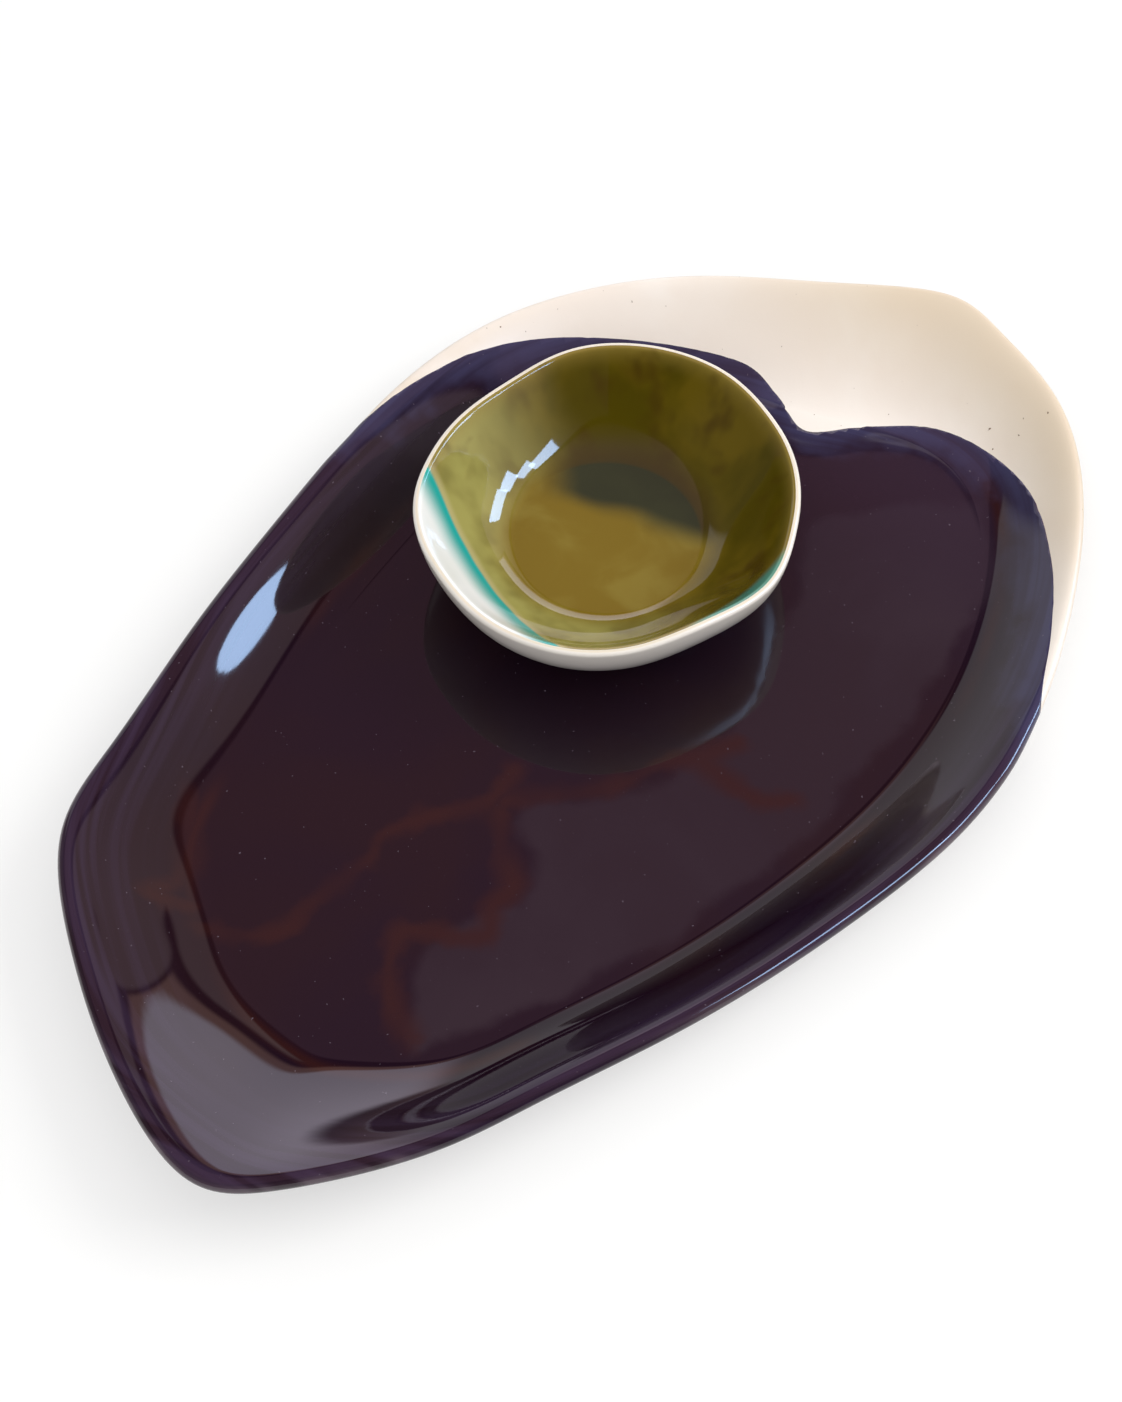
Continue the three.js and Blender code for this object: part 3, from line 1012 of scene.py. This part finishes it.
@dataclass
class Platter:
    """The dipped platter: a closed clay body and the glaze coat over most of it.

    Attributes:
        length, width: the lip's greatest reach along and across.
        floor: height of the well's floor.
        lip_height: lowest height of the lip's top.
        lip_rise: how much higher the lip stands at its highest.
        lip_thickness: thickness of the round lip.
        rim_width: greatest width of the sloping rim.
        cove: how far inside the well's edge the soft bend up into the rim begins.
        foot_inset: how far the base's edge lies inside the well's edge.
        foot_round: width of the bend at the base.
        bend_ratio: how far that bend reaches up the rim, against the rim's width.
        slope_ratio: slope of the rim where it flares out into its lip, against its mean slope.
        flare_share: length of that flare against the rim's straight span.
        spine_share: how much of the length the spokes' middles are spread along.
        dent: how deep the hand-made unevenness goes.
        dent_length, dent_width: how far apart its swells lie along and across.
        dent_layer: which layer of the noise it is read from.
        dent_fade: the wall value at which it begins to fade, and how much further it is gone.
        well_dent: how much of it there is in the well.
        coat_height: how far the coat stands proud of the clay.
        coat_thickness: thickness of the coat, part of it sunk in the clay.
        coat_end: the wall value at which the coat stops, short of the foot.
        taper: width over which the coat thins out to its edge.
        foot_taper: the same towards the foot, as a wall value.
        edge_share: how much of its height is left at its edge.
        snap: how near the dip line a vertex counts as lying on it.
        spokes: vertices round the platter.
        steps: how finely its section is cut.
    """

    length: float = 424 * MM
    width: float = 260 * MM
    floor: float = 7 * MM
    lip_height: float = 23 * MM
    lip_rise: float = 9 * MM
    lip_thickness: float = 5 * MM
    rim_width: float = 58 * MM
    cove: float = 5 * MM
    foot_inset: float = 3 * MM
    foot_round: float = 6 * MM
    bend_ratio: float = 0.24
    slope_ratio: float = 0.55
    flare_share: float = 0.26
    spine_share: float = 0.45
    dent: float = 0.5 * MM
    dent_length: float = 75 * MM
    dent_width: float = 55 * MM
    dent_layer: float = 3.7
    dent_fade: float = 0.6
    well_dent: float = 0.35
    coat_height: float = 0.7 * MM
    coat_thickness: float = 1.1 * MM
    coat_end: float = 1.8
    taper: float = 12 * MM
    foot_taper: float = 0.2
    edge_share: float = 0.08
    snap: float = 0.15 * MM
    spokes: int = 180
    steps: SectionSteps = SectionSteps(floor=32, inside=14, lip=6, outside=10, base=4)

    def cage(self) -> Cage:
        """Lays out the rings that the platter is drawn over."""
        rows = closed_spline(np.array(RIM_PLACES, float), self.spokes)
        plan = rows[:, :2]
        low, high = plan.min(axis=0), plan.max(axis=0)
        edge = (plan - (low + high) / 2) / (high - low) * (self.length, self.width)
        direction = edge * (1 - self.spine_share, 1)
        direction /= np.linalg.norm(direction, axis=1)[:, None]
        run = rows[:, 3] * self.rim_width
        lip = np.stack((run, self.lip_height + rows[:, 2] * self.lip_rise), axis=1) - self.lip_thickness / 2
        slope = np.arctan(self.slope_ratio * (lip[:, 1] - self.floor) / lip[:, 0])
        section = WallSection(
            floor_end=np.tile((-self.cove, self.floor), (self.spokes, 1)),
            floor_edge=np.stack((self.bend_ratio * run, np.full(self.spokes, self.floor)), axis=1),
            lip=lip,
            lip_radius=self.lip_thickness / 2,
            flare=self.flare_share,
            inside_angle=slope,
            outside_angle=slope,
            base_edge=np.tile((-self.foot_inset, 0), (self.spokes, 1)),
            foot_round=self.foot_round,
        )
        return rings_of(section.stations(self.steps), edge - direction * run[:, None], direction, self.steps)

    def dented(self, cage: Cage) -> Cage:
        """Presses hand-made unevenness into the well and the rim, downwards only.

        Args:
            cage: the true shape.

        Returns:
            The uneven shape.
        """
        wall = cage.values[Field.WALL]
        places = cage.places.copy()
        spread = places / (self.dent_length, self.dent_width, 1)
        spread[:, :, 2] = self.dent_layer
        fade = 1 - smooth_step((wall - self.dent_fade) / self.dent_fade)
        share = np.where(wall <= 0, self.well_dent, fade)
        places[:, :, 2] -= self.dent * share * (0.5 + 0.5 * swells(spread))
        return Cage(places, cage.values)

    def build(self) -> None:
        """Models the clay and its coat, and dresses them."""
        clay, coat = clay_and_coat("platter", self.dented(self.cage()), self.coat_end)
        self.mark(coat)
        coat.trim(Field.DIP)
        near_edge = np.minimum(coat.values(Field.DIP) / self.taper, 1)
        near_foot = (self.coat_end - coat.values(Field.WALL)) / self.foot_taper
        full = smooth_step(np.minimum(near_edge, near_foot))
        coat.lift(self.coat_height * (self.edge_share + (1 - self.edge_share) * full))
        coat.thicken(self.coat_thickness)
        dress_piece(clay.thing, CreamClay().build(), Body.PLATTER, "platter_body")
        dress_piece(coat.thing, AubergineGlaze().build(), Body.PLATTER, "platter_glaze")

    def mark(self, coat: Piece) -> None:
        """Keeps on the coat how far each vertex lies from the dip line, a vein and the pale cell's edge.

        Args:
            coat: the coat.
        """
        spots = np.stack((coat.values(Field.MARK_X), coat.values(Field.MARK_Y)), axis=1)
        half = np.array((self.length, self.width)) / 2
        line = open_spline(np.array(DIP_LINE) * half, 8)
        corner = np.array(((2 * half[0], line[-1, 1]), (2 * half[0], line[0, 1])))
        bare = inside_outline(spots, np.vstack((line, corner)))
        dip = distance_to_line(spots, line) * np.where(bare, -1, 1)
        coat.keep(Field.DIP, np.where(np.abs(dip) < self.snap, 0, dip))
        plan = coat.rows("co")[:, :2]
        veins = [distance_to_line(plan, open_spline(np.array(vein) * MM, 4)) for vein in VEINS]
        coat.keep(Field.VEIN, np.min(veins, axis=0))
        cell = np.array(PALE_CELL) * MM
        inside = np.where(inside_outline(plan, cell), 1, -1)
        coat.keep(Field.CELL, inside * distance_to_line(plan, np.vstack((cell, cell[:1]))))


@dataclass
class DipBowl:
    """The loose dip bowl: a closed porcelain body and the glaze coat inside it.

    Attributes:
        middle: its middle, along and across the platter.
        height_above: height of its base.
        rim_radius: mean radius of the lip.
        height: its height to the lip.
        floor: height of its floor over its base.
        floor_radius: radius of its flat floor.
        lip_thickness: thickness of the round lip.
        inside_angle, outside_angle: degrees from level of its walls at the lip.
        cove: width of the bend between the floor and the wall.
        foot_radius: radius of its flat base.
        foot_round: width of the bend at the base.
        pinch: the most that the rim stands in or out of round.
        sway: the most that the rim stands over or under its height.
        dent: how deep the finger marks go.
        dent_spread: how far apart they lie.
        dent_end: the wall value at which they end, just over the base.
        coat_height: how far the coat stands proud of the porcelain.
        coat_thickness: thickness of the coat, part of it sunk in the porcelain.
        coat_end: the wall value at which the coat stops, just short of the lip's top.
        lip_taper: the stretch of wall values over which it thins out to its edge.
        edge_share: how much of its height is left at its edge.
        spokes: vertices round the bowl.
        steps: how finely its section is cut.
    """

    middle: tuple[float, float] = BOWL_MIDDLE
    height_above: float = 7.8 * MM
    rim_radius: float = 65 * MM
    height: float = 38 * MM
    floor: float = 11 * MM
    floor_radius: float = 40 * MM
    lip_thickness: float = 3.2 * MM
    inside_angle: float = 55
    outside_angle: float = 90
    cove: float = 8 * MM
    foot_radius: float = 36 * MM
    foot_round: float = 12 * MM
    pinch: float = 5 * MM
    sway: float = 1.5 * MM
    dent: float = 0.35 * MM
    dent_spread: float = 26 * MM
    dent_end: float = 1.95
    coat_height: float = 0.35 * MM
    coat_thickness: float = 0.7 * MM
    coat_end: float = 0.906
    lip_taper: float = 0.2
    edge_share: float = 0.1
    spokes: int = 120
    steps: SectionSteps = SectionSteps(floor=10, inside=16, lip=10, outside=12, base=4)

    def cage(self) -> Cage:
        """Lays out the rings that the bowl is drawn over."""
        waves = closed_spline(np.array(BOWL_WAVES), self.spokes)
        top = np.array((self.rim_radius, self.height)) + waves * (self.pinch, self.sway)
        section = WallSection(
            floor_end=np.tile((self.floor_radius - self.cove, self.floor), (self.spokes, 1)),
            floor_edge=np.tile((self.floor_radius, self.floor), (self.spokes, 1)),
            lip=top - self.lip_thickness / 2,
            lip_radius=self.lip_thickness / 2,
            flare=HANDLE_SHARE,
            inside_angle=np.full(self.spokes, math.radians(self.inside_angle)),
            outside_angle=np.full(self.spokes, math.radians(self.outside_angle)),
            base_edge=np.tile((self.foot_radius, 0), (self.spokes, 1)),
            foot_round=self.foot_round,
        )
        middle = np.tile(self.middle, (self.spokes, 1))
        direction = heading(np.arange(self.spokes) * math.tau / self.spokes)
        cage = rings_of(section.stations(self.steps), middle, direction, self.steps)
        cage.places[:, :, 2] += self.height_above
        return cage

    def dented(self, cage: Cage) -> Cage:
        """Presses finger marks into the walls, outwards and inwards from the middle.

        Args:
            cage: the true shape.

        Returns:
            The uneven shape.
        """
        wall = cage.values[Field.WALL]
        out = (cage.places - (*self.middle, 0)) * (1, 1, 0)
        out /= np.linalg.norm(out, axis=2)[:, :, None]
        pressed = (wall > 0) & (wall < self.dent_end)
        depth = self.dent * swells(cage.places / self.dent_spread) * pressed
        return Cage(cage.places + out * depth[:, :, None], cage.values)

    def build(self) -> None:
        """Models the porcelain and its coat, and dresses them."""
        clay, coat = clay_and_coat("bowl", self.dented(self.cage()), self.coat_end)
        full = smooth_step((self.coat_end - coat.values(Field.WALL)) / self.lip_taper)
        coat.lift(self.coat_height * (self.edge_share + (1 - self.edge_share) * full))
        coat.thicken(self.coat_thickness)
        dress_piece(clay.thing, WhitePorcelain().build(), Body.BOWL, "dip_bowl_body")
        dress_piece(coat.thing, OliveGlaze().build(), Body.BOWL, "dip_bowl_glaze")


def swells(places: np.ndarray) -> np.ndarray:
    """Reads slow noise at places, by ring and spoke, as numbers from -1 to 1."""
    numbers = [noise.noise(Vector(place)) for place in places.reshape(-1, 3)]
    return np.array(numbers).reshape(places.shape[:2])


def clay_and_coat(name: str, cage: Cage, coat_end: float) -> tuple[Piece, Piece]:
    """Models a dish's closed clay, and the sheet that its coat is made from.

    Args:
        name: the dish's name.
        cage: its rings.
        coat_end: the wall value at which the coat stops.

    Returns:
        The clay, then the sheet.
    """
    clay = Piece(f"{name}_clay", cage, sealed=True)
    clay.soften()
    coat = Piece(f"{name}_coat", cage.upper(coat_end), sealed=False)
    coat.soften()
    return clay, coat


def rings_of(stations: np.ndarray, origin: np.ndarray, direction: np.ndarray, steps: SectionSteps) -> Cage:
    """Sets a section's stations round a dish, and fills its floor and its base with rings.

    Args:
        stations: the section's (out, up), by station and spoke.
        origin: where each spoke starts, seen from above.
        direction: where each spoke points.
        steps: how finely the dish is cut.

    Returns:
        The rings of the whole dish.
    """
    flat = origin[None] + stations[:, :, :1] * direction[None]
    walls = np.concatenate((flat, stations[:, :, 1:]), axis=2)
    count = walls.shape[1]
    floor_middle = walls[0].mean(axis=0)
    base_middle = walls[-1].mean(axis=0)
    floor_shares = np.arange(1, steps.floor) / steps.floor
    base_shares = np.arange(steps.base - 1, 0, -1) / steps.base
    floors = floor_middle + (walls[0] - floor_middle) * floor_shares[:, None, None]
    bases = base_middle + (walls[-1] - base_middle) * base_shares[:, None, None]
    places = np.concatenate((floors, walls, bases))
    lip_top = steps.inside + steps.lip // 2
    below = len(walls) - 1 - lip_top
    heights = np.concatenate(
        (
            np.zeros(len(floors)),
            np.arange(lip_top + 1) / lip_top,
            1 + np.arange(1, below + 1) / below,
            np.full(len(bases), 2.0),
        )
    )
    inward = -np.linalg.norm(walls[0] - floor_middle, axis=1) * (1 - floor_shares[:, None])
    out = stations[:, :, 0]
    crease = np.concatenate((inward + out[0], out, np.tile(out[-1], (len(bases), 1))))
    marks = places[:, :, :2].copy()
    marks[len(floors) + lip_top :] = marks[len(floors) + lip_top]
    values = {
        Field.WALL: np.tile(heights[:, None], (1, count)),
        Field.CREASE: crease,
        Field.MARK_X: marks[:, :, 0],
        Field.MARK_Y: marks[:, :, 1],
    }
    return Cage(places, values)


def dress_piece(
    piece: bpy.types.Object,
    finish: bpy.types.Material,
    body: Body,
    node: str,
) -> None:
    """Gives a piece its finish, and says what it rides on and stands for.

    Args:
        piece: the piece.
        finish: its material.
        body: the body that it rides on.
        node: the node that it stands for.
    """
    piece.data.materials.append(finish)
    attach(piece, body.value)
    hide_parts(node)
    log.info("%s: %d faces, on %s, for %s", piece.name, len(piece.data.polygons), body.value, node)


@dataclass(frozen=True)
class Lamp:
    """A soft panel of light, aimed at the platter.

    Attributes:
        name: its name.
        bearing: degrees from straight behind the platter, to the right of the picture.
        elevation: degrees over the floor.
        width, height: its size.
        radiance: how bright its face is.
        colour: its colour.
        shine: whether it lights surfaces or shows in glossy ones.
        distance: how far off it stands.
    """

    name: str
    bearing: float
    elevation: float
    width: float
    height: float
    radiance: float
    colour: Colour
    shine: Shine = Shine.LIGHT
    distance: float = 2.6


@dataclass
class Studio:
    """The pale floor, the room's light and the camera.

    Attributes:
        azimuth: degrees by which the camera is turned from looking along +Y.
        camera_elevation: degrees over the floor.
        camera_distance: from its target.
        target: what the camera looks at.
        lens: focal length in millimetres.
        sensor: long side of its frame in millimetres.
        floor_radius: radius of the floor.
        floor_sides: how many sides it has.
        floor_drop: how far it lies under the platter.
        floor_border: width of the ring along its edge.
        room: brightness of the room as light on the object.
        room_low, room_high: how much of it comes from level with the floor and from above.
        behind_dim: how much of the room behind the camera reflections show.
        far_wall, left_wall, right_wall: what reflections show of the walls behind and to the sides.
        corner: what they show at the far end of the left wall.
        shade: what they show below the far wall.
        fringe: what they show along the far wall's upper edge.
        cornice: what they show of the dark line under the ceiling.
        ceiling: what they show of the ceiling.
        corner_end: the bearings, in radians, between which the corner gives way to the left wall.
        walls_meet: those between which the left wall gives way to the right one.
        far_start: those between which the far wall begins.
        far_foot: the heights, as sines, between which the shade gives way to the far wall.
        far_slant: how much lower the far wall's upper edge lies for each radian to the right.
        far_edges: the right and upper edges of the dark border, the fringe and the far wall.
        cornice_rise: the heights of the cornice over the left wall and over the right one.
        ceiling_start: the heights between which the ceiling begins.
        soft_side, soft_top: how soft the edges to the right and above are.
        lamps: the panels of light.
    """

    azimuth: float = -54
    camera_elevation: float = 57
    camera_distance: float = 860 * MM
    target: Triple = (-4.0 * MM, 8.5 * MM, 10 * MM)
    lens: float = 65.7
    sensor: float = 36
    floor_radius: float = 9.0
    floor_sides: int = 96
    floor_drop: float = 0.2 * MM
    floor_border: float = 0.3
    room: float = 0.76
    room_low: float = 0.35
    room_high: float = 1.12
    behind_dim: float = 0.12
    far_wall: Colour = (2.6, 2.35, 2.8)
    left_wall: Colour = (0.9, 0.86, 0.9)
    right_wall: Colour = (0.75, 0.54, 0.58)
    corner: Colour = (0.1, 0.09, 0.09)
    shade: Colour = (0.14, 0.13, 0.14)
    fringe: Colour = (1.2, 0.70, 0.60)
    cornice: Colour = (0.09, 0.05, 0.07)
    ceiling: Colour = (0.44, 0.25, 0.33)
    corner_end: tuple[float, float] = (-0.86, -0.76)
    walls_meet: tuple[float, float] = (0.0, 0.4)
    far_start: tuple[float, float] = (-0.25, -0.1)
    far_foot: tuple[float, float] = (0.08, 0.14)
    far_slant: float = 0.3
    far_edges: tuple[tuple[float, float], ...] = ((0.662, 0.69), (0.65, 0.635), (0.64, 0.585))
    cornice_rise: tuple[float, float] = (0.63, 0.70)
    ceiling_start: tuple[float, float] = (0.75, 0.78)
    soft_side: float = 0.015
    soft_top: float = 0.03
    lamps: tuple[Lamp, ...] = (
        Lamp("window_left", 69, 23.2, 0.86, 0.48, 18.0, DAYLIGHT, Shine.MIRROR),
        Lamp("window", 85.5, 25.8, 0.58, 0.54, 20.0, DAYLIGHT, Shine.MIRROR),
        Lamp("window_high", 98.5, 35.7, 0.58, 0.52, 18.0, DAYLIGHT, Shine.MIRROR),
        Lamp("window_right", 113, 41.7, 0.75, 0.57, 18.0, DAYLIGHT, Shine.MIRROR),
        Lamp("side", 80, 40, 1.6, 1.4, 4.0, (1.0, 0.98, 0.95)),
        Lamp("front", 190, 50, 1.6, 1.2, 2.0, (1.0, 0.97, 0.94)),
    )

    def toward(self, bearing: float, elevation: float) -> Vector:
        """Gives the direction at a bearing in the picture and an elevation.

        Args:
            bearing: degrees from straight behind the platter, to the right of the picture.
            elevation: degrees over the floor.

        Returns:
            The direction in the part's frame.
        """
        turn = math.radians(bearing - self.azimuth)
        rise = math.radians(elevation)
        return Vector((math.sin(turn) * math.cos(rise), math.cos(turn) * math.cos(rise), math.sin(rise)))

    def build(self) -> None:
        """Sets up the floor, the light and the camera."""
        self.build_floor()
        self.build_room()
        for lamp in self.lamps:
            self.build_lamp(lamp)
        self.build_camera()
        bpy.context.scene.view_settings.view_transform = "Standard"

    def build_floor(self) -> None:
        """Lays the floor, a wide disc just under the platter."""
        bpy.ops.object.select_all(action="DESELECT")
        bpy.ops.mesh.primitive_circle_add(
            vertices=self.floor_sides,
            radius=self.floor_radius,
            fill_type="NGON",
        )
        floor = bpy.context.active_object
        floor.name = "floor"
        with editing():
            bpy.ops.mesh.select_all(action="SELECT")
            bpy.ops.transform.translate(value=(0, 0, -self.floor_drop))
            bpy.ops.mesh.inset(thickness=self.floor_border)
        floor.data.materials.append(StudioFloor().build())
        log.info("floor laid")

    def build_room(self) -> None:
        """Lights the room, shows the eye plain white, and shows reflections its walls and ceiling."""
        world = bpy.data.worlds.new("room")
        bpy.context.scene.world = world
        board = Board(world, "Generated")
        height = board.axis("Z")
        ahead, aside, behind = [board.along(tuple(self.toward(turn, 0))) for turn in (0, 90, 180)]
        bearing = board.math("ARCTAN2", aside, ahead)
        left = board.blend(board.ramp(bearing, *self.corner_end), self.corner, self.left_wall)
        colour = board.blend(board.ramp(bearing, *self.walls_meet), left, self.right_wall)
        over = board.math("SUBTRACT", height, board.ramp(bearing, *self.walls_meet, *self.cornice_rise))
        colour = board.blend(board.ramp(over, 0.0, self.soft_top), colour, self.cornice)
        slanted = board.math("ADD", height, board.times(bearing, self.far_slant))
        far = board.blend(board.ramp(height, *self.far_foot), self.shade, self.far_wall)
        for tone, (right, top) in zip((self.cornice, self.fringe, far), self.far_edges):
            colour = board.blend(self.far_share(board, bearing, slanted, right, top), colour, tone)
        colour = board.blend(board.ramp(height, *self.ceiling_start), colour, self.ceiling)
        mirrored = board.mirrored()
        colour = board.blend(mirrored, (1.0, 1.0, 1.0), colour)
        light = board.ramp(height, 0.0, 0.7, self.room_low * self.room, self.room_high * self.room)
        plain = board.ramp(board.eye(), 0.0, 1.0, light, 1.0)
        dim = board.ramp(behind, 0.3, 0.7, 1.0, self.behind_dim)
        feeds = {0: mirrored, 2: plain, 3: dim}
        strength = board.add("ShaderNodeMix", feeds, data_type="FLOAT").outputs[0]
        background = board.tree.nodes["Background"].inputs
        board.join(colour, background["Color"])
        board.join(strength, background["Strength"])

    def far_share(self, board: Board, bearing: Feed, height: Feed, right: float, top: float) -> Feed:
        """Marks the far wall in reflections, as far as an edge on its right and one on its top.

        Args:
            board: the room's nodes.
            bearing: the bearing of what is seen, in radians.
            height: its height, with the slant of the upper edge taken into it.
            right: the bearing of the right edge.
            top: the height of the top edge.

        Returns:
            1 on the wall and 0 beyond it.
        """
        from_right = board.ramp(bearing, right, right + self.soft_side, 1.0, 0.0)
        across = board.times(board.ramp(bearing, *self.far_start), from_right)
        return board.times(across, board.ramp(height, top, top + self.soft_top, 1.0, 0.0))

    def build_lamp(self, lamp: Lamp) -> None:
        """Hangs one panel of light, aimed at the platter.

        Args:
            lamp: the panel.
        """
        light = bpy.data.lights.new(lamp.name, "AREA")
        light.shape = "RECTANGLE"
        light.size = lamp.width
        light.size_y = lamp.height
        light.energy = lamp.radiance * math.pi * lamp.width * lamp.height
        light.color = lamp.colour
        panel = bpy.data.objects.new(lamp.name, light)
        panel.visible_glossy = lamp.shine is Shine.MIRROR
        panel.visible_diffuse = lamp.shine is Shine.LIGHT
        ray = self.toward(lamp.bearing, lamp.elevation)
        panel.location = ray * lamp.distance
        panel.rotation_euler = ray.to_track_quat("Z", "Y").to_euler()
        bpy.context.scene.collection.objects.link(panel)
        log.info("%s hung", lamp.name)

    def build_camera(self) -> None:
        """Stands the camera where the picture was taken from."""
        lens = bpy.data.cameras.new("camera")
        lens.lens = self.lens
        lens.sensor_width = self.sensor
        camera = bpy.data.objects.new("camera", lens)
        ray = self.toward(180, self.camera_elevation)
        camera.location = Vector(self.target) + ray * self.camera_distance
        camera.rotation_euler = ray.to_track_quat("Z", "Y").to_euler()
        bpy.context.scene.collection.objects.link(camera)
        bpy.context.scene.camera = camera


def main() -> None:
    """Builds the platter, the bowl and the studio, in that order."""
    logging.basicConfig(level=logging.INFO)
    for part in (Platter(), DipBowl(), Studio()):
        part.build()


if __name__ == "__main__":
    main()
